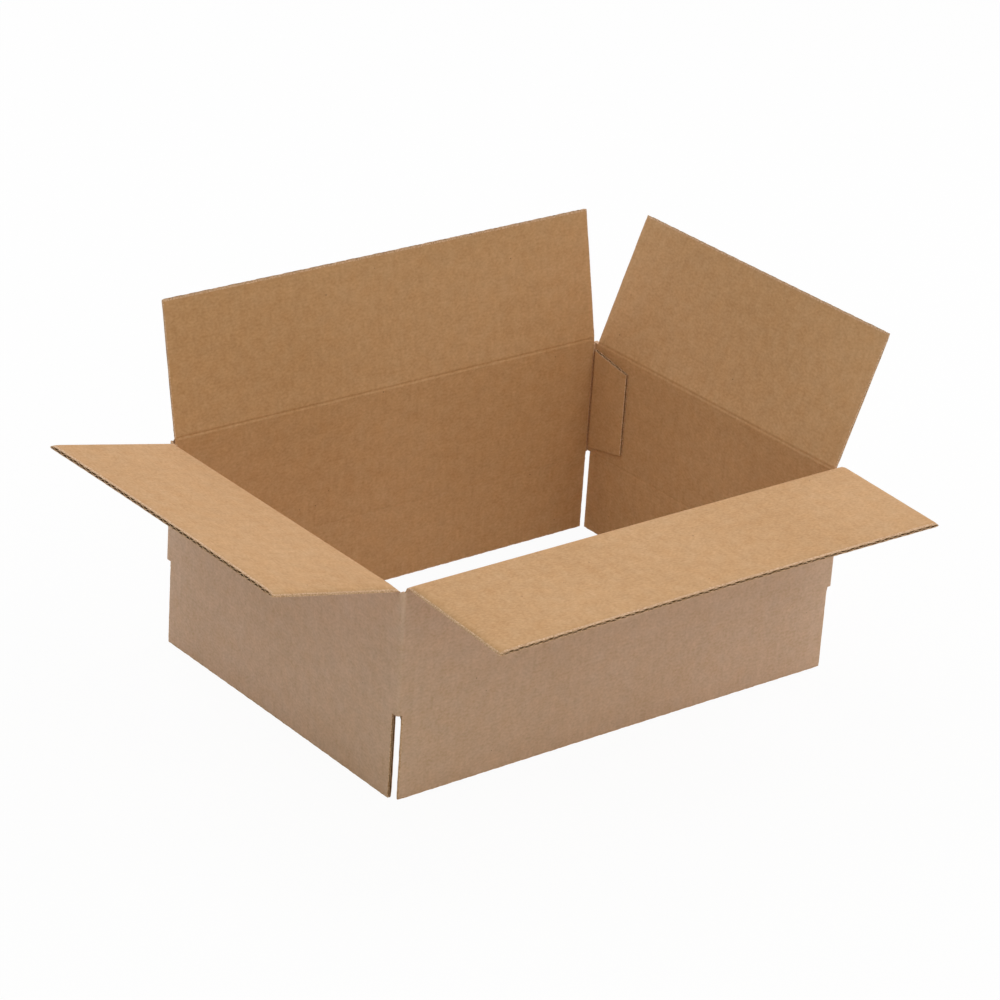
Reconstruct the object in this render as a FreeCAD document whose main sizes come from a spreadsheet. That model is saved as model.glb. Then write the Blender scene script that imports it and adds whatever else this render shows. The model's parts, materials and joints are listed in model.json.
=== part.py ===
import FreeCAD, Part
import os
import re
import Sketcher

# An open corrugated cardboard carton with four top flaps and four bottom flaps.
# It is one die-cut sheet of single-wall board, folded round into a sleeve and closed by a glued tab.
# +X runs along the long walls, +Y into the depth, +Z up. The carton stands on its hanging bottom flaps,
# and the origin lies on the floor under the centre of its bounding box.

# Driving sizes, in millimetres and degrees.
SIZES = {
    "outside_length": 310,   # long walls, outer face to outer face
    "outside_width": 223,    # end walls, outer face to outer face
    "wall_height": 78,       # long walls, score line to score line
    "top_reach": 80,         # long top flaps, score line to free edge
    "bottom_reach": 48,      # long bottom flaps, score line to free edge
    "board": 3,              # thickness of the corrugated board
    "liner": 0.35,           # each outer paper of the board
    "medium": 0.35,          # the fluted paper between the liners
    "flute_pitch": 6.33,     # one wave of the fluted paper
    "flute_end": 4,          # plain edge beside the last flute
    "flute_stop": 5,         # flutes crushed shut beside a score
    "fold_clearance": 0.3,   # between flaps that cross when folded
    "score_crush": 3.4,      # how far a score is pressed in, along the inner face
    "corner_radius": 1.8,    # outer side of a corner fold, and from a corner to a long top flap
    "end_slot": 4.5,         # from a corner to the side of an end flap
    "tab_width": 32,         # glue tab, from the corner to its free edge
    "tab_fold": 1.2,         # from the fold of the tab to the side of a back flap
    "tab_board": 2.4,        # the board of the tab, pressed thinner
    "tab_slant": 10,         # slope of the tab's two ends
    "tab_drop": 0.4,         # from a closed flap to the end of the tab
    "seam_gap": 0.6,         # between the back wall's fold and the raw end of the right wall
    "front_open": 93,        # each top flap at rest, outward from upright
    "right_open": 22,
    "back_open": 12,
    "left_open": 78,
}

# Sizes that follow from the driving ones. The long flaps fold over the end flaps,
# so their score lines lie one board further out, and every flap ends on one straight sheet edge.
# The long bottom flaps close between the hanging end flaps, so they are shorter than the top ones,
# and the back flaps are cut shorter still where the back wall folds into the glue tab.
LIFT = "(board + fold_clearance)"
END_TOP_REACH = f"(top_reach + {LIFT})"
END_BOTTOM_REACH = f"(bottom_reach + {LIFT})"
LONG_LOW = "bottom_reach"
LONG_TOP = "(bottom_reach + wall_height)"
END_LOW = f"({LONG_LOW} + {LIFT})"
END_TOP = f"({LONG_TOP} - {LIFT})"
TOP_SPAN = "(outside_length - 2 * corner_radius)"
BOTTOM_SPAN = f"(outside_length - 2 * {LIFT})"
BACK_TOP_CUT = "(board + seam_gap + tab_fold - corner_radius)"
BACK_BOTTOM_CUT = f"(board + seam_gap + tab_fold - {LIFT})"
END_SPAN = "(outside_width - 2 * end_slot)"


def overhang(reach, angle):
    """How far a tilted top flap stands out beyond its wall: its reach times the sine of its tilt,
    and past the level the board's thickness times the cosine as well."""
    return f"({reach} * sin({angle} * 1 deg) + board * max(0; -cos({angle} * 1 deg)))"


CENTRE_X = f"(({overhang(END_TOP_REACH, 'left_open')} - {overhang(END_TOP_REACH, 'right_open')}) / 2)"
CENTRE_Y = f"(({overhang('top_reach', 'front_open')} - {overhang('top_reach', 'back_open')}) / 2)"

doc = FreeCAD.newDocument("carton")
sheet = doc.addObject("Spreadsheet::Sheet", "sizes")
for row, (name, value) in enumerate(SIZES.items(), 1):
    sheet.set(f"A{row}", name)
    sheet.set(f"B{row}", str(value))
    sheet.setAlias(f"B{row}", name)
doc.recompute()


def bound(text):
    """An expression in which every size name points at its cell."""
    return re.sub(r"[a-z_]+", lambda m: f"sizes.{m.group()}" if m.group() in SIZES else m.group(), text)


def plane(body, role):
    """One of the body's own origin planes or axes."""
    return next(item for item in body.Origin.OriginFeatures if item.Role == role)


def new_body(name):
    body = doc.addObject("PartDesign::Body", name)
    body.Label = name
    return body


def new_sketch(body, name, role, offset="0"):
    """An empty sketch on one of the body's origin planes, moved along the plane's normal."""
    sketch = body.newObject("Sketcher::SketchObject", name)
    sketch.AttachmentSupport = [(plane(body, role), "")]
    sketch.MapMode = "FlatFace"
    sketch.setExpression("AttachmentOffset.Base.z", bound(offset))
    return sketch


def outline(sketch, corners):
    """A closed polygon whose corner coordinates are each bound to an expression."""
    first = sketch.GeometryCount
    places = [[float(sheet.evalExpression(bound(value))) for value in corner] for corner in corners]
    vectors = [FreeCAD.Vector(across, up, 0) for across, up in places]
    for start, end in zip(vectors, vectors[1:] + vectors[:1]):
        sketch.addGeometry(Part.LineSegment(start, end))
    for index, (corner, place) in enumerate(zip(corners, places)):
        line = first + index
        following = first + (index + 1) % len(corners)
        sketch.addConstraint(Sketcher.Constraint("Coincident", line, 2, following, 1))
        for kind, value, size in zip(("DistanceX", "DistanceY"), corner, place):
            number = sketch.addConstraint(Sketcher.Constraint(kind, -1, 1, line, 1, size))
            sketch.setExpression(f"Constraints[{number}]", bound(value))


def feature(body, kind, name, sketch, length, symmetric=False, reverse=False):
    """A pad or pocket of one sketch."""
    item = body.newObject(f"PartDesign::{kind}", name)
    item.Profile = sketch
    item.Reversed = reverse
    if symmetric:
        item.SideType = "Symmetric"
    item.setExpression("Length", bound(length))
    return item


def mirrored(body, name, original, role):
    item = body.newObject("PartDesign::Mirrored", name)
    item.Originals = [original]
    item.MirrorPlane = (plane(body, role), [""])
    body.Tip = item


def flutes(body, name, sketch, start, near, far, turned, length, axis, count):
    """Both rows of channels between the liners: triangles under each crest and over each trough
    of the fluted paper, cut once and repeated at the flute pitch."""
    crest = [(f"{start} + medium", near),
             (f"{start} + flute_pitch / 2", f"{far} - medium"),
             (f"{start} + flute_pitch - medium", near)]
    trough = [(f"{start} + flute_pitch / 2 + medium", far),
              (f"{start} + 3 * flute_pitch / 2 - medium", far),
              (f"{start} + flute_pitch", f"{near} + medium")]
    for triangle in (crest, trough):
        outline(sketch, [corner[::-1] for corner in triangle] if turned else triangle)
    doc.recompute()
    pocket = feature(body, "Pocket", f"{name}_channel", sketch, length)
    pattern = body.newObject("PartDesign::LinearPattern", f"{name}_channels")
    pattern.Originals = [pocket]
    pattern.Direction = (plane(body, axis), [""])
    pattern.Mode = "Spacing"
    pattern.setExpression("Offset", bound("flute_pitch"))
    pattern.setExpression("Occurrences", bound(count))
    body.Tip = pattern


def flap(name, span, reach, place, turn, tip, tilt):
    """One flap, drawn upright on its fold line: outer face at the line, pressed in at the score,
    with the flutes open along its free edge. Then it is turned to its wall and tilted."""
    body = new_body(name)
    section = new_sketch(body, f"{name}_section", "YZ_Plane")
    outline(section, [("0", "0"), ("board", "score_crush"), ("board", reach), ("0", reach)])
    feature(body, "Pad", f"{name}_board", section, span, symmetric=True)
    count = f"floor(({span} - 2 * flute_end) / flute_pitch - 0.5)"
    edge = new_sketch(body, f"{name}_edge", "XY_Plane", reach)
    flutes(body, name, edge, f"(-({count} + 0.5) * flute_pitch / 2)", "liner", "(board - liner)", False,
           f"{reach} - score_crush - flute_stop", "X_Axis", count)
    along, depth, height = place
    body.setExpression("Placement", bound(
        f"placement(vector({CENTRE_X} + {along}; {CENTRE_Y} + {depth}; {height}); "
        f"rotation({turn}; {tip}; {tilt}))"))
    return body


# The sleeve: four walls, their corner folds and the glue tab, all one folded sheet.
sleeve = new_body("sleeve")
plan = new_sketch(sleeve, "wall_plan", "XY_Plane", END_LOW)
for inset in ("0", "board"):
    reach_x = f"(outside_length / 2 - {inset})"
    reach_y = f"(outside_width / 2 - {inset})"
    outline(plan, [(f"-{reach_x}", f"-{reach_y}"), (reach_x, f"-{reach_y}"),
                   (reach_x, reach_y), (f"-{reach_x}", reach_y)])
walls = feature(sleeve, "Pad", "walls", plan, f"{END_TOP} - {END_LOW}")
doc.recompute()


def corner_edges(shape):
    """The upright outer edges of the three folded corners. The fourth, at the back right, is a raw end."""
    corner_x = SIZES["outside_length"] / 2
    corner_y = SIZES["outside_width"] / 2
    slack = SIZES["board"] / 2
    names = []
    for number, edge in enumerate(shape.Edges, 1):
        middle = edge.CenterOfMass
        upright = edge.BoundBox.ZLength > edge.BoundBox.XLength + edge.BoundBox.YLength
        outer = abs(middle.x) > corner_x - slack and abs(middle.y) > corner_y - slack
        if upright and outer and not (middle.x > 0 and middle.y > 0):
            names.append(f"Edge{number}")
    return names


folds = sleeve.newObject("PartDesign::Fillet", "corner_folds")
folds.Base = (walls, corner_edges(walls.Shape))
folds.setExpression("Radius", bound("corner_radius"))

# The long walls stand one board higher and lower than the end walls, pressed in at their two scores.
outer_y = "-(outside_width / 2)"
inner_y = "-(outside_width / 2 - board)"
half_height = f"(({LONG_LOW} + {LONG_TOP}) / 2)"
for level, score, crushed, span in (("top", LONG_TOP, f"{LONG_TOP} - score_crush", TOP_SPAN),
                                    ("bottom", LONG_LOW, f"{LONG_LOW} + score_crush", BOTTOM_SPAN)):
    long_section = new_sketch(sleeve, f"long_wall_{level}_section", "YZ_Plane")
    outline(long_section, [(outer_y, half_height), (outer_y, score), (inner_y, crushed), (inner_y, half_height)])
    long_wall = feature(sleeve, "Pad", f"long_wall_{level}", long_section, span, symmetric=True)
    mirrored(sleeve, f"long_walls_{level}", long_wall, "XZ_Plane")

# The end walls are pressed in at their scores between the long walls.
end_scores = new_sketch(sleeve, "end_wall_scores", "XZ_Plane")
outer_x = "(outside_length / 2)"
inner_x = "(outside_length / 2 - board)"
outline(end_scores, [(outer_x, END_TOP), (inner_x, END_TOP), (inner_x, f"{END_TOP} - score_crush")])
outline(end_scores, [(outer_x, END_LOW), (inner_x, END_LOW), (inner_x, f"{END_LOW} + score_crush")])
end_score = feature(sleeve, "Pocket", "end_score", end_scores, "outside_width - 2 * board", symmetric=True)
mirrored(sleeve, "end_scores", end_score, "YZ_Plane")

# The seam: the back wall folds in beside the raw end of the right wall, one seam gap away.
seam_plan = new_sketch(sleeve, "seam_plan", "XY_Plane")
seam_outer = inner_x
seam_inner = f"({inner_x} - seam_gap)"
outline(seam_plan, [(seam_inner, "outside_width / 2 - board"), (seam_outer, "outside_width / 2 - board"),
                    (seam_outer, "outside_width / 2 + board"), (seam_inner, "outside_width / 2 + board")])
feature(sleeve, "Pocket", "seam", seam_plan, LONG_TOP, reverse=True)

# The back wall ends at its fold to the tab, also where it stands higher than the right wall.
seam_ends = new_sketch(sleeve, "seam_ends", "XZ_Plane", "-(outside_width / 2)")
for near, far in ((END_TOP, f"{LONG_TOP} + board"), (f"{LONG_LOW} - board", END_LOW)):
    outline(seam_ends, [(seam_inner, near), ("outside_length / 2", near),
                        ("outside_length / 2", far), (seam_inner, far)])
feature(sleeve, "Pocket", "seam_end", seam_ends, "board")

# The glue tab lies on the inner face of the right wall, its ends slanted clear of the closed flaps.
tab_face = new_sketch(sleeve, "tab_face", "YZ_Plane", inner_x)
tab_root = "(outside_width / 2 - board)"
tab_edge = f"({tab_root} - tab_width)"
tab_top = f"({END_TOP} - board - tab_drop)"
tab_low = f"({END_LOW} + board + tab_drop)"
tab_slope = "(tab_width * tan(tab_slant * 1 deg))"
outline(tab_face, [(tab_root, tab_low), (tab_root, tab_top),
                   (tab_edge, f"{tab_top} - {tab_slope}"), (tab_edge, f"{tab_low} + {tab_slope}")])
feature(sleeve, "Pad", "tab", tab_face, "tab_board", reverse=True)
tab_count = "floor((tab_width - 2 * flute_end) / flute_pitch - 0.5)"
tab_plan = new_sketch(sleeve, "tab_plan", "XY_Plane", tab_top)
flutes(sleeve, "tab", tab_plan, f"({tab_root} - tab_width / 2 - ({tab_count} + 0.5) * flute_pitch / 2)",
       f"({inner_x} - tab_board + liner)", f"({inner_x} - liner)", True,
       f"{tab_top} - {tab_low}", "Y_Axis", tab_count)
sleeve.setExpression("Placement", bound(f"placement(vector({CENTRE_X}; {CENTRE_Y}; 0); rotation(0; 0; 0))"))

# The eight flaps, each on its wall's score line. Turning by quarter turns takes a flap from the front
# wall round to the right, back and left walls, and tipping it right over hangs it from the lower score.
half_length = "outside_length / 2"
half_width = "outside_width / 2"
parts = [sleeve]
for side, turn, along, depth in (("front", 0, "0", f"-{half_width}"), ("right", 90, half_length, "0"),
                                 ("back", 180, "0", half_width), ("left", 270, f"-{half_length}", "0")):
    is_long = side in ("front", "back")
    for level, reach, end_reach, score, end_score_line, span, back_cut, tip, tilt in (
            ("top", "top_reach", END_TOP_REACH, LONG_TOP, END_TOP, TOP_SPAN, BACK_TOP_CUT, 0, f"{side}_open"),
            ("bottom", "bottom_reach", END_BOTTOM_REACH, LONG_LOW, END_LOW, BOTTOM_SPAN, BACK_BOTTOM_CUT,
             180, "0")):
        shift = f"{along} - {back_cut} / 2" if side == "back" else along
        if side == "back":
            span = f"({span} - {back_cut})"
        if not is_long:
            reach, score, span = end_reach, end_score_line, END_SPAN
        parts.append(flap(f"{side}_{level}_flap", span, reach, (shift, depth, score), turn, tip, tilt))

doc.recompute()
for item in doc.Objects:
    if "Invalid" in item.State or "Error" in item.State:
        raise RuntimeError(f"{item.Name} did not compute: {item.State}")
for part in parts:
    if part.Shape.isNull() or not part.Shape.isValid() or len(part.Shape.Solids) != 1:
        raise RuntimeError(f"{part.Label} is not one valid solid")

os.makedirs("parts", exist_ok=True)
for part in parts:
    part.Shape.exportStep(f"parts/{part.Label}.step")
    print(part.Label, round(part.Shape.Volume / 1000, 2), "cm3", part.Shape.BoundBox)
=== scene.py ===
import json
import math

import bpy
import numpy as np
from mathutils import Matrix, Vector


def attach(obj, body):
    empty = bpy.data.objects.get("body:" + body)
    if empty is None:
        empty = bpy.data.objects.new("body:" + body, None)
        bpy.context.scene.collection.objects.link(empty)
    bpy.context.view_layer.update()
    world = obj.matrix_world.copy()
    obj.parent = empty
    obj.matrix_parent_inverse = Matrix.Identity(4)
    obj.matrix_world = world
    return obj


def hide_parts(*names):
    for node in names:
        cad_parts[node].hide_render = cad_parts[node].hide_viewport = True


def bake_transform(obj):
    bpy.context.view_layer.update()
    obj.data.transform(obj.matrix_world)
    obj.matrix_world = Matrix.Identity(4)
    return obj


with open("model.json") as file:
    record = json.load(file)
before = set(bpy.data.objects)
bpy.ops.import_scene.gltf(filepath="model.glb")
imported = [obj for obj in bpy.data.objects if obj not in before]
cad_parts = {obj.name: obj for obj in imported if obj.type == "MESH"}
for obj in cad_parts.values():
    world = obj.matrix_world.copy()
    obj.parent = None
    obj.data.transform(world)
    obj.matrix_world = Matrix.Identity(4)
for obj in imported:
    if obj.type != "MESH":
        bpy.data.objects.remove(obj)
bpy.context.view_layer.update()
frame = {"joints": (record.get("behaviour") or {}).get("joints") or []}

# SLEEVE WALLS
# The four walls of the carton, one sheet of single-wall corrugated kraft board, die-cut, scored and
# folded round. It is folded at three corners. The fourth, at the back right, is where its raw end
# meets the fold of the glue tab.

MM = 0.001
BOARD = 3.0 * MM          # whole board
OUTER_FOLD = 1.8 * MM     # outer radius of a folded corner, where a long top flap starts
TAB_FOLD = 1.2 * MM       # the same of the fold to the glue tab, where both back flaps start
LONG_SLOT = 3.3 * MM      # from a corner to the side of a long bottom flap
END_SLOT = 4.5 * MM       # from a corner to the side of an end flap
INNER_FOLD = 0.2 * MM     # the inner paper folds nearly sharp
SEAM = 0.6 * MM           # open seam beside the raw end
TAB_BOARD = 2.4 * MM      # the tab's board, pressed thinner by the gluing
CORNER_RISE = 1.7 * MM    # of the outer paper, at the upper end of a folded corner
MARGIN = 6.0 * MM         # the flap pieces start this far from their score, on the wall
FOLD_STEPS = 8            # cells round a folded corner
WALL_PLACES = 40          # points along a wall, over the width of each of its flaps
RAW_LIP = 0.05 * MM       # between the two inner points at the raw end, which would coincide
PITCH = 6.33 * MM         # one wave of the fluted paper
SHARP = math.radians(38)  # edges that bend more than this are drawn sharp

joints = {joint["name"]: joint for joint in frame["joints"]}
left_x, right_x = [joints[f"{side}_top_fold"]["pos_m"][0] for side in ("left", "right")]
front_y, back_y = [joints[f"{side}_top_fold"]["pos_m"][1] for side in ("front", "back")]
long_low, long_top = [joints[f"front_{level}_fold"]["pos_m"][2] for level in ("bottom", "top")]
end_low, end_top = [joints[f"left_{level}_fold"]["pos_m"][2] for level in ("bottom", "top")]
length = right_x - left_x
width = back_y - front_y

# Going round the sheet from its raw end: each wall's first corner, its direction into the carton, its
# run along the sheet, how far inside that run its top and its bottom flap start and end, and the
# heights of its two scores.
sheet_end = 2 * (length + width) - BOARD - SEAM
WALLS = {
    "right": ((right_x, back_y), (-1, 0), (0.0, width),
              {"top": (END_SLOT, END_SLOT), "bottom": (END_SLOT, END_SLOT)}, (end_low, end_top)),
    "front": ((right_x, front_y), (0, 1), (width, width + length),
              {"top": (OUTER_FOLD, OUTER_FOLD), "bottom": (LONG_SLOT, LONG_SLOT)}, (long_low, long_top)),
    "left": ((left_x, front_y), (1, 0), (width + length, 2 * width + length),
             {"top": (END_SLOT, END_SLOT), "bottom": (END_SLOT, END_SLOT)}, (end_low, end_top)),
    "back": ((left_x, back_y), (0, -1), (2 * width + length, sheet_end),
             {"top": (OUTER_FOLD, TAB_FOLD), "bottom": (LONG_SLOT, TAB_FOLD)}, (long_low, long_top)),
}


def linear(hex_colour):
    """sRGB hex to linear: each channel c becomes ((c + 0.055) / 1.055) to the power 2.4, or c / 12.92
    where it is very dark."""
    channels = [int(hex_colour[place:place + 2], 16) / 255 for place in (1, 3, 5)]
    return [c / 12.92 if c <= 0.04045 else ((c + 0.055) / 1.055) ** 2.4 for c in channels] + [1.0]


def add(tree, kind, inputs=(), **settings):
    """Adds one node, with its settings, and gives each input a value or a link from another socket."""
    item = tree.nodes.new(kind)
    for name, value in settings.items():
        setattr(item, name, value)
    for place, value in dict(inputs).items():
        if isinstance(value, bpy.types.NodeSocket):
            tree.links.new(value, item.inputs[place])
        else:
            item.inputs[place].default_value = value
    return item


def kraft_liner(name, pale, deep, shive):
    """Kraft liner paper: long wood fibres lying across the flutes, cloudy pulp, a few dark shives, and
    the flutes showing through as faint bands. It is matt and slightly rough to the eye."""
    material = bpy.data.materials.new(name)
    material.use_nodes = True
    tree = material.node_tree
    shader = tree.nodes["Principled BSDF"]
    shader.inputs["Roughness"].default_value = 0.86
    shader.inputs["Specular IOR Level"].default_value = 0.25
    sheet = add(tree, "ShaderNodeUVMap", uv_map="blank").outputs["UV"]
    # Real kraft fibres are 0.03 mm thick. They are drawn as clumps of 1.9 by 1.4 mm, to show. The
    # clouds are some 8 mm across, and the slow change of tone some 110 mm.
    run = add(tree, "ShaderNodeMapping", {"Vector": sheet, "Scale": (520.0, 720.0, 1.0)})
    fibre = add(tree, "ShaderNodeTexNoise", {"Vector": run.outputs[0], "Scale": 1.0, "Detail": 2.0})
    cloud = add(tree, "ShaderNodeTexNoise", {"Vector": sheet, "Scale": 130.0, "Detail": 4.0,
                                             "Roughness": 0.6})
    tone = add(tree, "ShaderNodeTexNoise", {"Vector": sheet, "Scale": 9.0, "Detail": 2.0})
    split = add(tree, "ShaderNodeSeparateXYZ", {"Vector": sheet})
    turn = add(tree, "ShaderNodeMath", {0: split.outputs["X"], 1: 2 * math.pi / PITCH},
               operation="MULTIPLY")
    band = add(tree, "ShaderNodeMath", {0: turn.outputs[0]}, operation="SINE")
    mix = add(tree, "ShaderNodeMath", {0: fibre.outputs["Fac"], 1: 0.42}, operation="MULTIPLY")
    for layer, weight in ((cloud.outputs["Fac"], 0.30), (tone.outputs["Fac"], 0.20),
                          (band.outputs[0], 0.008)):
        mix = add(tree, "ShaderNodeMath", {0: layer, 1: weight, 2: mix.outputs[0]},
                  operation="MULTIPLY_ADD")
    ramp = add(tree, "ShaderNodeMapRange", {"Value": mix.outputs[0], "From Min": 0.32, "From Max": 0.60})
    pulp = add(tree, "ShaderNodeMix", {0: ramp.outputs["Result"], 6: linear(deep), 7: linear(pale)},
               data_type="RGBA")
    # The pulp is unevenly cooked, so its tint wanders over some 10 mm between warmer and cooler.
    cooked = add(tree, "ShaderNodeTexNoise", {"Vector": sheet, "Scale": 95.0, "Detail": 2.0})
    tint = add(tree, "ShaderNodeMix", {0: cooked.outputs["Fac"], 6: (1.03, 0.99, 0.93, 1.0),
                                       7: (0.97, 1.01, 1.07, 1.0)}, data_type="RGBA")
    pulp = add(tree, "ShaderNodeMix", {0: 1.0, 6: pulp.outputs[2], 7: tint.outputs[2]}, data_type="RGBA",
               blend_type="MULTIPLY")
    # Shives are dark splinters about 0.7 mm across, one in some 15 mm of sheet.
    speck = add(tree, "ShaderNodeTexVoronoi", {"Vector": sheet, "Scale": 70.0})
    dot = add(tree, "ShaderNodeMapRange", {"Value": speck.outputs["Distance"], "From Min": 0.018,
                                           "From Max": 0.034, "To Min": 0.75, "To Max": 0.0})
    colour = add(tree, "ShaderNodeMix", {0: dot.outputs["Result"], 6: pulp.outputs[2], 7: linear(shive)},
                 data_type="RGBA")
    tree.links.new(colour.outputs[2], shader.inputs["Base Color"])
    height = add(tree, "ShaderNodeMath", {0: band.outputs[0], 1: 0.25, 2: mix.outputs[0]},
                 operation="MULTIPLY_ADD")
    bump = add(tree, "ShaderNodeBump", {"Height": height.outputs[0], "Strength": 0.25,
                                        "Distance": 0.10 * MM})
    tree.links.new(bump.outputs["Normal"], shader.inputs["Normal"])
    return material


def cut_board(name, pale, deep):
    """The cut side of the board and the fluted paper in it: rough, dull and mottled by torn fibre ends,
    because the knife lays the pulp open."""
    material = bpy.data.materials.new(name)
    material.use_nodes = True
    tree = material.node_tree
    shader = tree.nodes["Principled BSDF"]
    shader.inputs["Roughness"].default_value = 0.95
    shader.inputs["Specular IOR Level"].default_value = 0.1
    place = add(tree, "ShaderNodeTexCoord").outputs["Object"]
    # Torn fibre ends, drawn about 0.7 mm across.
    torn = add(tree, "ShaderNodeTexNoise", {"Vector": place, "Scale": 1400.0, "Detail": 3.0})
    ramp = add(tree, "ShaderNodeMapRange", {"Value": torn.outputs["Fac"], "From Min": 0.35,
                                            "From Max": 0.65})
    colour = add(tree, "ShaderNodeMix", {0: ramp.outputs["Result"], 6: linear(deep), 7: linear(pale)},
                 data_type="RGBA")
    tree.links.new(colour.outputs[2], shader.inputs["Base Color"])
    bump = add(tree, "ShaderNodeBump", {"Height": torn.outputs["Fac"], "Strength": 0.8,
                                        "Distance": 0.15 * MM})
    tree.links.new(bump.outputs["Normal"], shader.inputs["Normal"])
    return material


PAPERS = (
    kraft_liner("kraft_liner_outside_calendered", "#E4C4B0", "#CCAB90", "#6E4E36"),
    kraft_liner("kraft_liner_inside_unbleached", "#D7AE84", "#C09467", "#6A4526"),
    cut_board("kraft_board_cut_edge", "#F0CFB0", "#BE946F"),
    cut_board("fluted_medium_recycled", "#B8926A", "#8C6A47"),
)
OUTSIDE, INSIDE, CUT, FLUTED = range(4)


def slab(outer, inner, sheet, papers, keep=None, pale_cut_and_highlight=False):
    """A closed slab between two faces, each an array of [columns, rows, xyz]. Cells outside `keep` are
    left out, and every open side gets a rim from one face to the other. `papers` numbers the materials
    of the outer face, the inner face and the rims. The cells that the last argument marks show the rims'
    pale cut-paper material too: partly the liner's pale cut edge, partly a painted highlight along the edge."""
    columns, rows = outer.shape[:2]
    keep = np.ones((columns - 1, rows - 1), bool) if keep is None else keep
    number = np.arange(columns * rows).reshape(columns, rows)
    back = number + columns * rows
    around = np.zeros((columns + 1, rows + 1), bool)
    around[1:-1, 1:-1] = keep
    near, far = slice(None, -1), slice(1, None)
    a, b, c, d = (near, near), (near, far), (far, far), (far, near)
    faces = [np.stack([number[a], number[b], number[c], number[d]], -1)[keep],
             np.stack([back[a], back[d], back[c], back[b]], -1)[keep]]
    for first, second, beside in ((a, b, around[:-2, 1:-1]), (c, d, around[2:, 1:-1]),
                                  (d, a, around[1:-1, :-2]), (b, c, around[1:-1, 2:])):
        rim = np.stack([number[first], back[first], back[second], number[second]], -1)
        faces.append(rim[keep & ~beside])
    paper = np.concatenate([np.where(pale_cut_and_highlight, papers[2], face)[keep] if np.ndim(pale_cut_and_highlight) else
                            np.full(keep.sum(), face) for face in papers[:2]]
                           + [np.full(len(part), papers[2]) for part in faces[2:]])
    points = np.concatenate([outer.reshape(-1, 3), inner.reshape(-1, 3)])
    blank = np.concatenate([sheet.reshape(-1, 2)] * 2)
    used, corners = np.unique(np.concatenate(faces), return_inverse=True)
    return points[used], corners.reshape(-1, 4), blank[used], paper


def board_piece(name, slabs):
    """One object out of closed slabs, with the sheet's own coordinates in metres as its UV map."""
    starts = np.cumsum([0] + [len(part[0]) for part in slabs])
    points = np.concatenate([part[0] for part in slabs])
    faces = np.concatenate([part[1] + start for part, start in zip(slabs, starts)])
    blank = np.concatenate([part[2] for part in slabs])
    paper = np.concatenate([part[3] for part in slabs])
    mesh = bpy.data.meshes.new(name)
    mesh.from_pydata(points.tolist(), [], faces.tolist())
    mesh.uv_layers.new(name="blank").data.foreach_set("uv", blank[faces.ravel()].ravel())
    for material in PAPERS:
        mesh.materials.append(material)
    mesh.polygons.foreach_set("material_index", paper.astype(np.int32))
    mesh.polygons.foreach_set("use_smooth", np.ones(len(faces), bool))
    mesh.set_sharp_from_angle(angle=SHARP)
    mesh.update()
    piece = bpy.data.objects.new(name, mesh)
    bpy.context.scene.collection.objects.link(piece)
    return piece


def wall_plan():
    """The sleeve in plan, as matching rows of outer points, inner points and distances along the sheet.
    A wall's point is its corner plus distance times direction. A fold's point is its centre plus radius
    times a direction that turns evenly through a quarter turn."""
    outer, inner, sheet = [], [], []
    for side, (corner, inward, run, insets, _) in WALLS.items():
        inward = np.array(inward, float)
        along = np.array((-inward[1], inward[0]))
        is_last = side == "back"
        fold = TAB_FOLD if is_last else OUTER_FOLD
        bend = (TAB_BOARD - SEAM if is_last else BOARD) + INNER_FOLD
        first = 0.0 if side == "right" else OUTER_FOLD
        between = [np.linspace(run[0] + start, run[1] - end, WALL_PLACES)
                   for start, end in insets.values()]
        places = np.unique(np.concatenate([[run[0] + first], *between, [run[1] - fold]]))
        outer_steps = (places - run[0])[:, None]
        inner_steps = outer_steps.copy()
        inner_steps[0] = 0.0 if side == "right" else BOARD + INNER_FOLD
        inner_steps[-1] = run[1] - run[0] - bend
        outer.append(corner + outer_steps * along)
        inner.append(corner + inward * BOARD + inner_steps * along)
        sheet.append(places)
        turn = np.linspace(0, math.pi / 2, FOLD_STEPS + 1)[1:-1, None]
        swing = along * np.sin(turn) - inward * np.cos(turn)
        end = corner + (run[1] - run[0]) * along
        outer.append(end + fold * (inward - along) + fold * swing)
        inner.append(end - bend * along + (BOARD + INNER_FOLD) * inward + INNER_FOLD * swing)
        sheet.append(run[1] + fold * (4 * turn[:, 0] / math.pi - 1))
        if is_last:
            outer.append(end + np.array(((fold,), (BOARD,))) * inward)
            inner.append(np.tile(end - (bend - INNER_FOLD) * along + (BOARD + INNER_FOLD) * inward, (2, 1))
                         + np.array(((0.0,), (RAW_LIP,))) * inward)
            sheet.append(run[1] + np.array((fold, BOARD)))
    return np.concatenate(outer), np.concatenate(inner), np.concatenate(sheet)


plan_outer, plan_inner, plan_sheet = wall_plan()
levels = np.array((end_low, long_low + MARGIN, end_low + MARGIN, (end_low + end_top) / 2,
                   end_top - MARGIN, long_top - MARGIN, end_top))
cells = (len(plan_sheet), len(levels))
middle_along = (plan_sheet[1:] + plan_sheet[:-1]) / 2
middle_height = (levels[1:] + levels[:-1]) / 2
kept = np.ones((cells[0] - 1, cells[1] - 1), bool)
for _, _, run, insets, scores in WALLS.values():
    for level, rows in (("top", middle_height > scores[1] - MARGIN),
                        ("bottom", middle_height < scores[0] + MARGIN)):
        columns = (middle_along > run[0] + insets[level][0]) & (middle_along < run[1] - insets[level][1])
        kept[np.ix_(columns, rows)] = False


def upright(plan, rise=0.0):
    """Every point of a plan at every level, with the top one raised: [columns, rows, xyz]."""
    heights = np.tile(levels, (cells[0], 1))
    heights[:, -1] += rise
    return np.concatenate([np.repeat(plan[:, None], cells[1], 1), heights[..., None]], -1)


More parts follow.
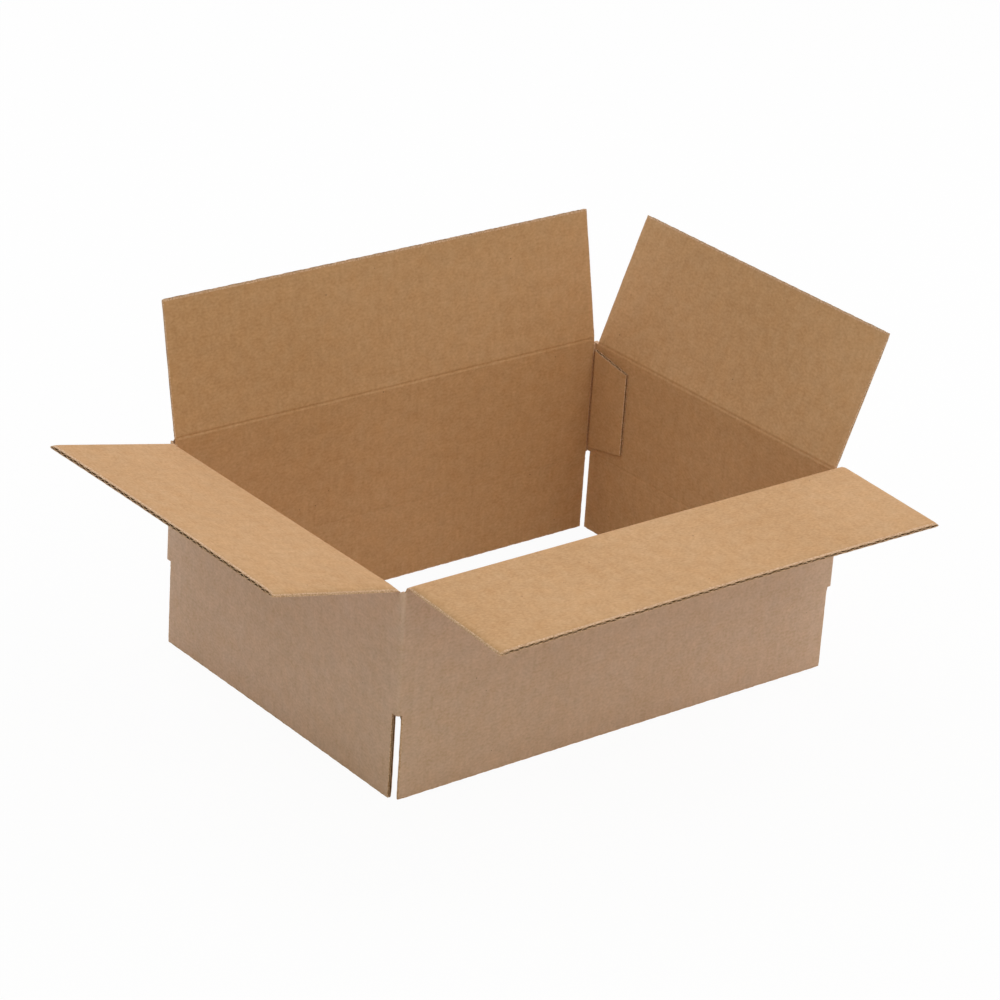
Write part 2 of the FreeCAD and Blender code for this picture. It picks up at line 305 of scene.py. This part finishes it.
# The slotting knife leaves the outer paper of a folded corner standing a little higher.
from_corner = np.abs(plan_sheet[:, None] - np.array((width, width + length, 2 * width + length))).min(1)
torn_rise = np.where(from_corner < 1.01 * OUTER_FOLD, CORNER_RISE, 0.0)
sleeve_walls = board_piece("sleeve_walls", [slab(
    upright(plan_outer, torn_rise), upright(plan_inner), upright(plan_sheet[:, None]),
    (OUTSIDE, INSIDE, CUT), kept)])
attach(sleeve_walls, "sleeve")
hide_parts("sleeve")

# GLUE TAB
# The narrow fifth panel of the same sheet, folded in at the back right corner and glued flat to the
# inner face of the right wall. Its ends are cut slanting, and its open flutes show there.

LINER = 0.32 * MM         # each outer paper
MEDIUM = 0.20 * MM        # half the thickness of the fluted paper, drawn thick so that it shows
TAB_WIDTH = 32.0 * MM
TAB_SLOPE = math.tan(math.radians(10))
TAB_INSET = 3.4 * MM      # from the end walls' scores to the tab's ends at its fold
GLUE = 0.03 * MM          # thickness of the glue
WAVE_STEPS = 10           # cells to one wave of the fluted paper
THINNEST = 0.02 * MM      # the least room that a crushed edge leaves for the fluted paper's wave
END_CRUSH = 1.6 * MM      # how far in a knife's crush reaches from an edge
SIDE_RAGGED = 0.3 * MM    # how deep the raggedness is at a side edge
TAB_RAGGED = 0.25 * MM    # the same at the tab's slanting ends
TAB_CRUSHED = 0.25        # share of the board that is crushed at the tab's long edge
TAB_SLANT_CRUSHED = 0.06  # the same at its slanting ends
TAB_SLANT_CRUSH = 1.2 * MM    # how far in that crush reaches
TAB_PRESS = 1.7 * MM      # how much thinner the tab is at its fold
TAB_PRESS_REACH = 1.5 * MM    # how far from the fold it is pressed
TAB_EDGES = np.array((3.0, 2.0, 1.2, 0.8, 0.4, 0.0)) * MM   # its last columns, from its long edge
TAB_PALE_CUT_AND_HIGHLIGHT = 0.1 * MM    # how far in from its long edge the tab's faces show pale cut paper and a painted highlight
TAB_END_PALE_CUT_AND_HIGHLIGHT = 1.985   # cells whose two steps add up to more lie at a slanting end


def ragged(places, seed, depth):
    """How far a cut edge falls back along its length, between 0 and depth: half of it, plus 0.22, 0.16
    and 0.12 of it times sines of 9.1, 3.7 and 1.9 mm wavelength, whose phases come from the seed."""
    phases = np.random.default_rng(seed).uniform(0, 2 * math.pi, 3)
    waves = [np.sin(2 * math.pi * places / wave + phase)
             for wave, phase in zip((9.1 * MM, 3.7 * MM, 1.9 * MM), phases)]
    return depth * (0.5 + 0.22 * waves[0] + 0.16 * waves[1] + 0.12 * waves[2])


def sandwich(columns, rows, shape, place, pale_cut_and_highlight):
    """The board's three papers as closed slabs. `shape` gives, for a paper, a column and a row, the
    place along the sheet, the height, the depth of the outer face and the thickness; `place` takes
    along, height and depth to space. The last argument marks the cells of the outer papers that show the
    pale cut-paper material: partly the liner's pale cut edge, partly a painted highlight along the edge.
    The fluted paper lies at the middle depth plus the free depth times the sine of the distance along the
    sheet."""
    waves = np.linspace(columns[0], columns[-1],
                        round(WAVE_STEPS * (columns[-1] - columns[0]) / PITCH) + 1)
    slabs = []
    for paper, steps in enumerate((columns, waves, columns)):
        along, height, skin, thick = shape(paper, steps[:, None], rows[None])
        free = np.maximum(thick / 2 - LINER - MEDIUM, THINNEST)
        wave = skin + thick / 2 + free * np.sin(2 * math.pi * along / PITCH)
        near = (skin, wave - MEDIUM, skin + thick - LINER)[paper]
        far = (skin + LINER, wave + MEDIUM, skin + thick)[paper]
        papers = ((OUTSIDE, FLUTED, CUT), (FLUTED, FLUTED, CUT), (FLUTED, INSIDE, CUT))[paper]
        slabs.append(slab(place(along, height, near), place(along, height, far),
                          np.stack([along, height], -1), papers, pale_cut_and_highlight=paper != 1 and pale_cut_and_highlight))
    return slabs


def tab_shape(paper, along, step):
    """The tab tapers: its height is the middle plus the step, from -1 to 1, times half its height at the
    fold less the slope times the distance from the fold. It is pressed in beside the fold and crushed
    at its cut edges, by bell curves and exp(-distance / its reach)."""
    far = along - sheet_end
    middle = (end_top + end_low) / 2
    half = (end_top - end_low) / 2 - TAB_INSET - TAB_SLOPE * far - ragged(along, paper, TAB_RAGGED)
    back = ragged(step * half, paper + 5, SIDE_RAGGED) * np.clip(far / TAB_WIDTH, 0, 1) ** 4
    crushed = (1 - TAB_CRUSHED * np.exp(-(TAB_WIDTH - far) / END_CRUSH)) \
        * (1 - TAB_SLANT_CRUSHED * np.exp(-(1 - np.abs(step)) * half / TAB_SLANT_CRUSH))
    thick = (TAB_BOARD - TAB_PRESS * np.exp(-(far / TAB_PRESS_REACH) ** 2)) * crushed
    return along - back, middle + step * half, 0.0 * thick, thick


def tab_place(along, height, depth):
    """The tab is flat: it runs to the front from its fold, beside the right wall's inner face."""
    return np.stack([right_x - BOARD - GLUE - depth, back_y - BOARD - (along - sheet_end), height], -1)


tab_columns = sheet_end + np.concatenate([np.linspace(0, 4, 11) * MM, np.linspace(5, 28, 16) * MM,
                                          TAB_WIDTH - TAB_EDGES])
tab_rows = np.sin(np.linspace(-1, 1, 41) * math.pi / 2)
# Cells along the tab's long edge and its slanting ends take the pale cut-paper material: partly the liner's
# cut edge, partly a painted highlight along the edge.
tab_pale_cut_and_highlight = (tab_columns[1:, None] > tab_columns[-1] - TAB_PALE_CUT_AND_HIGHLIGHT) \
    | (np.abs(tab_rows[1:] + tab_rows[:-1]) > TAB_END_PALE_CUT_AND_HIGHLIGHT)
glue_tab = board_piece("glue_tab", sandwich(tab_columns, tab_rows, tab_shape, tab_place, tab_pale_cut_and_highlight))
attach(glue_tab, "sleeve")
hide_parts("sleeve")

# FLAPS
# Four top flaps and four bottom flaps, cut from the same sheet between the slots. Each hangs on its
# wall by a pressed score line, where the paper bends. Their free edges are cut straight across the
# flutes, so the three papers of the board show there.

BEND = 1.8 * MM           # half the stretch of board that bends at a score
OUTER_PRESS = 0.1 * MM    # how deep the score presses the outer face
SLOT_END = 3.0 * MM       # below a score, a slot's cut side dies out in the wall over this height
EDGE_ZONE = 6.0 * MM      # how far in from a cut edge its raggedness fades out
FREE_RAGGED = 0.35 * MM   # how deep the raggedness is at the free edge
FREE_CRUSHED = 0.30       # share of the board that is crushed at the free edge
TOP_TRIM = 0.25 * MM      # how much the top flaps stop short of the CAD's, to stay inside them
COLUMN = 1.8 * MM         # spacing of the mesh across a flap
SIDE_COLUMNS = np.array((0.0, 0.6, 1.0, 1.6, 2.5, 4.0)) * MM    # its first ones, from a side edge
LAST_ROWS = np.array((4.0, 2.6, 1.8, 1.2, 0.6, 0.0)) * MM       # its last rows, from the free edge
SIDE_PALE_CUT_AND_HIGHLIGHT = 0.6 * MM   # how far in from a side edge the faces show pale cut paper and a painted highlight
FREE_PALE_CUT_AND_HIGHLIGHT = {"top": 1.2 * MM, "bottom": 0.6 * MM}            # the same from the free edge
# How deep the score presses the inner face, and the half-width of the pressed line. The two flaps that
# lie folded back are pressed most. The flaps that aren't named have the plain score.
SCORES = {"front_top": (2.2 * MM, 1.9 * MM), "left_top": (2.2 * MM, 1.9 * MM),
          "right_top": (0.35 * MM, 0.7 * MM), "back_top": (0.4 * MM, 0.7 * MM),
          "right_bottom": (0.35 * MM, 0.8 * MM), "back_bottom": (0.12 * MM, 0.8 * MM)}
PLAIN_SCORE = (0.4 * MM, 0.8 * MM)
# How much of the board's thickness the knife crushes at a side edge, and the outer face's share of it.
BRUISE = {"front_top": (0.66, 0.15), "left_top": (0.66, 0.15), "front_bottom": (0.66, 0.15),
          "left_bottom": (0.20, 0.15)}
PLAIN_BRUISE = (0.66, 1.0)
# How far a flap bows outward at its free edge.
BOW = {"front_top": 1.0 * MM, "left_top": 0.8 * MM, "back_top": 0.8 * MM, "right_top": 0.9 * MM}
BOTTOM_BOW = 0.3 * MM
LONG_REACH = {"top": 80.0 * MM, "bottom": long_low}
FOLD_OVER = long_top - end_top          # long scores lie this far beyond the end ones


def flap(side, level, seed):
    """One flap from its wall to its free edge. A point at height h over the score and depth q turns
    outward about the score by the rest tilt times w = t * t * (3 - 2 * t), where t runs from 0 to 1
    over the stretch that bends. A pressed line is a bell curve, exp(-(h / press) squared), and a cut
    edge is crushed by exp(-distance / its reach)."""
    name = f"{side}_{level}_flap"
    joint = joints[f"{side}_{level}_fold"]
    _, inward, run, insets, _ = WALLS[side]
    is_long = side in ("front", "back")
    score = np.array(joint["pos_m"])
    inward = np.array(inward + (0,), float)
    up = np.array((0.0, 0.0, 1.0))
    along_wall = np.cross(up, inward)
    upward = 1 if level == "top" else -1
    tilt = math.radians(joint["range_deg"][1] - 90)
    between = (run[0] + insets[level][0], run[1] - insets[level][1])
    middle = run[0] + (length if is_long else width) / 2
    reach = LONG_REACH[level] + (0.0 if is_long else FOLD_OVER)
    bow = BOW.get(f"{side}_{level}", BOTTOM_BOW)
    inner_press, press = SCORES.get(f"{side}_{level}", PLAIN_SCORE)
    trim = TOP_TRIM if level == "top" else 0.0
    bruise, outer_share = BRUISE.get(f"{side}_{level}", PLAIN_BRUISE)

    def shape(paper, along, height):
        """The flap before it is bent. Its edges fall back by the raggedness. Its thickness is the board
        less the pressed line, times the share that the knife left. Its outer face bows out by the bow
        times (height / reach) to the power 1.5, times 1 - (distance from the middle / half width)
        squared."""
        rise = upward * (height - score[2])
        free = reach - rise
        off_wall = np.clip((rise + SLOT_END) / SLOT_END, 0, 1)
        left, right = along - between[0], between[1] - along
        shifted = along + off_wall * (
            np.clip(1 - left / EDGE_ZONE, 0, 1) * ragged(rise, seed + paper, SIDE_RAGGED)
            - np.clip(1 - right / EDGE_ZONE, 0, 1) * ragged(rise, seed + paper + 3, SIDE_RAGGED))
        cut = np.clip(1 - free / EDGE_ZONE, 0, 1) * (ragged(along, seed + paper + 6, FREE_RAGGED) + trim)
        pressed = np.exp(-(rise / press) ** 2)
        crushed = 1 - (1 - FREE_CRUSHED * np.exp(-free / END_CRUSH)) \
            * (1 - bruise * off_wall * np.exp(-left / END_CRUSH)) \
            * (1 - bruise * off_wall * np.exp(-right / END_CRUSH))
        swell = bow * np.clip(rise / reach, 0, 1) ** 1.5 \
            * (1 - ((along - middle) / (between[1] - middle)) ** 2)
        thick = (BOARD - (inner_press + OUTER_PRESS) * pressed) * (1 - crushed)
        skin = OUTER_PRESS * pressed + (BOARD - OUTER_PRESS * pressed) * crushed * outer_share + swell
        return shifted, height - upward * cut, skin, thick

    def place(along, height, depth):
        """The flap bent: at angle a a point comes to lie h * cos(a) + q * sin(a) over the score and
        q * cos(a) - h * sin(a) inward of it."""
        rise = height - score[2]
        t = np.clip((upward * rise + BEND) / (2 * BEND), 0, 1)
        angle = (tilt * t * t * (3 - 2 * t))[..., None]
        rise, depth = rise[..., None], depth[..., None]
        return score + (along - middle)[..., None] * along_wall \
            + (rise * np.cos(angle) + depth * np.sin(angle)) * up \
            + (depth * np.cos(angle) - rise * np.sin(angle)) * inward

    # Rows and columns lie closest where the board bends and where the knife crushed it.
    rises = np.concatenate([[-MARGIN], np.linspace(-4.8, -1.6, 9) * MM,
                            np.linspace(-1.4, 1.4, 21) * MM, np.linspace(1.6, 4.8, 9) * MM,
                            np.linspace(EDGE_ZONE, reach - EDGE_ZONE, 9), reach - LAST_ROWS])
    rows = np.sort(score[2] + upward * rises)
    middle_columns = np.linspace(between[0] + EDGE_ZONE, between[1] - EDGE_ZONE,
                                 round((between[1] - between[0]) / COLUMN))
    columns = np.concatenate([between[0] + SIDE_COLUMNS, middle_columns, between[1] - SIDE_COLUMNS[::-1]])
    across = (columns[1:] + columns[:-1])[:, None] / 2
    risen = upward * ((rows[1:] + rows[:-1]) / 2 - score[2])
    # Cells near the free edge, and near the side edges above the score, take the pale cut-paper material:
    # partly the liner's cut edge, partly a painted highlight along the edge.
    at_side = np.minimum(across - between[0], between[1] - across) < SIDE_PALE_CUT_AND_HIGHLIGHT
    pale_cut_and_highlight = (risen > reach - FREE_PALE_CUT_AND_HIGHLIGHT[level]) | at_side & (risen > 0)
    piece = board_piece(f"{name}_board", sandwich(columns, rows, shape, place, pale_cut_and_highlight))
    turned = math.cos(tilt) * up - math.sin(tilt) * inward if level == "top" else -up
    halfway = upward * up + turned
    halfway = halfway / np.linalg.norm(halfway)
    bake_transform(piece)
    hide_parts(name)
    return piece


for count, level in enumerate(("top", "bottom")):
    for number, side in enumerate(WALLS):
        flap(side, level, 100 * count + 10 * number)

# FLOOR, LIGHT AND CAMERA
# A plain white paper sweep, under five round softboxes and a pale sky. The camera stands where the
# photo's own stood, as fitted to the carton's corners.

FLOOR_HALF = 12.0         # metres
FLOOR_GLOW = 0.95         # share of its look that is plain white. The rest takes the carton's shadow.

floor_mesh = bpy.data.meshes.new("studio_floor")
floor_mesh.from_pydata([(x * FLOOR_HALF, y * FLOOR_HALF, 0) for x, y in ((-1, -1), (1, -1), (1, 1), (-1, 1))],
                       [], [(0, 1, 2, 3)])
floor = bpy.data.objects.new("studio_floor", floor_mesh)
bpy.context.scene.collection.objects.link(floor)
paper_white = bpy.data.materials.new("white_paper_sweep")
paper_white.use_nodes = True
tree = paper_white.node_tree
tree.nodes["Principled BSDF"].inputs["Base Color"].default_value = linear("#F4F4F4")
tree.nodes["Principled BSDF"].inputs["Roughness"].default_value = 0.9
tree.nodes["Principled BSDF"].inputs["Specular IOR Level"].default_value = 0.0
seen = add(tree, "ShaderNodeLightPath")
share = add(tree, "ShaderNodeMath", {0: seen.outputs["Is Camera Ray"], 1: FLOOR_GLOW},
            operation="MULTIPLY")
glow = add(tree, "ShaderNodeEmission", {"Color": linear("#FFFFFF"), "Strength": 1.0})
both = add(tree, "ShaderNodeMixShader", {0: share.outputs[0],
                                         1: tree.nodes["Principled BSDF"].outputs["BSDF"],
                                         2: glow.outputs["Emission"]})
tree.links.new(both.outputs["Shader"], tree.nodes["Material Output"].inputs["Surface"])
floor_mesh.materials.append(paper_white)

# The sky is white to the camera and in reflections. As a light it is weak and warm.
world = bpy.data.worlds.new("studio_white")
bpy.context.scene.world = world
world.use_nodes = True
tree = world.node_tree
soft = tree.nodes["Background"]
soft.inputs["Color"].default_value = linear("#FFFAD8")
soft.inputs["Strength"].default_value = 0.295
bright = add(tree, "ShaderNodeBackground", {"Color": linear("#FFFFFF"), "Strength": 1.0})
seen = add(tree, "ShaderNodeLightPath")
rays = add(tree, "ShaderNodeMath", {0: seen.outputs["Is Camera Ray"], 1: seen.outputs["Is Glossy Ray"]},
           operation="MAXIMUM")
rays = add(tree, "ShaderNodeMath", {0: rays.outputs[0], 1: seen.outputs["Is Transmission Ray"]},
           operation="MAXIMUM")
both = add(tree, "ShaderNodeMixShader", {0: rays.outputs[0], 1: soft.outputs["Background"],
                                         2: bright.outputs["Background"]})
tree.links.new(both.outputs["Shader"], tree.nodes["World Output"].inputs["Surface"])

# Each softbox: its name, its width, power and colour, and where it hangs. All face the carton.
SOFTBOXES = (
    ("front_softbox", 1.4, 3.0, "#FFF8E2", (0.2, -2.0, 0.9)),
    ("front_high_softbox", 1.4, 10.2, "#FFFFFF", (0.4, -1.5, 1.9)),
    ("left_high_softbox", 1.4, 9.8, "#F0F8FF", (-1.5, 0.2, 1.9)),
    ("back_softbox", 1.4, 16.0, "#F0F0FF", (0.0, 1.5, 1.6)),
    ("right_softbox", 1.4, 14.6, "#F0F0FF", (1.6, 0.0, 1.4)),
)
for name, size, power, colour, place in SOFTBOXES:
    lamp_data = bpy.data.lights.new(name, "AREA")
    lamp_data.shape = "DISK"
    lamp_data.size = size
    lamp_data.energy = power
    lamp_data.color = linear(colour)[:3]
    lamp = bpy.data.objects.new(name, lamp_data)
    lamp.location = place
    lamp.rotation_euler = Vector(place).to_track_quat("Z", "Y").to_euler()
    bpy.context.scene.collection.objects.link(lamp)

# The point that the camera looks at and how far off it stands, in metres, and its direction.
AIM = np.array((0.0455, 0.0615, 0.080))
DISTANCE = 2.193
AZIMUTH, ELEVATION, ROLL = math.radians(-39.30), math.radians(24.68), math.radians(3.91)
FOCAL = 3796.4 / 1000     # in image widths
SENSOR = 36.0             # mm
camera_data = bpy.data.cameras.new("photo_camera")
camera_data.sensor_width = SENSOR
camera_data.lens = SENSOR * FOCAL
camera_data.clip_end = 100.0
camera = bpy.data.objects.new("photo_camera", camera_data)
bpy.context.scene.collection.objects.link(camera)
bpy.context.scene.camera = camera
backward = np.array((math.sin(AZIMUTH) * math.cos(ELEVATION), -math.cos(AZIMUTH) * math.cos(ELEVATION),
                     math.sin(ELEVATION)))
camera.location = AIM + DISTANCE * backward
camera.rotation_mode = "XYZ"
level_right = np.array((math.cos(AZIMUTH), math.sin(AZIMUTH), 0.0))
level_up = np.cross(backward, level_right)
right = level_right * math.cos(ROLL) + level_up * math.sin(ROLL)
upper = level_up * math.cos(ROLL) - level_right * math.sin(ROLL)
camera.rotation_euler = Matrix(np.stack([right, upper, backward], 1).tolist()).to_euler("XYZ")

bpy.context.scene.view_settings.view_transform = "Standard"
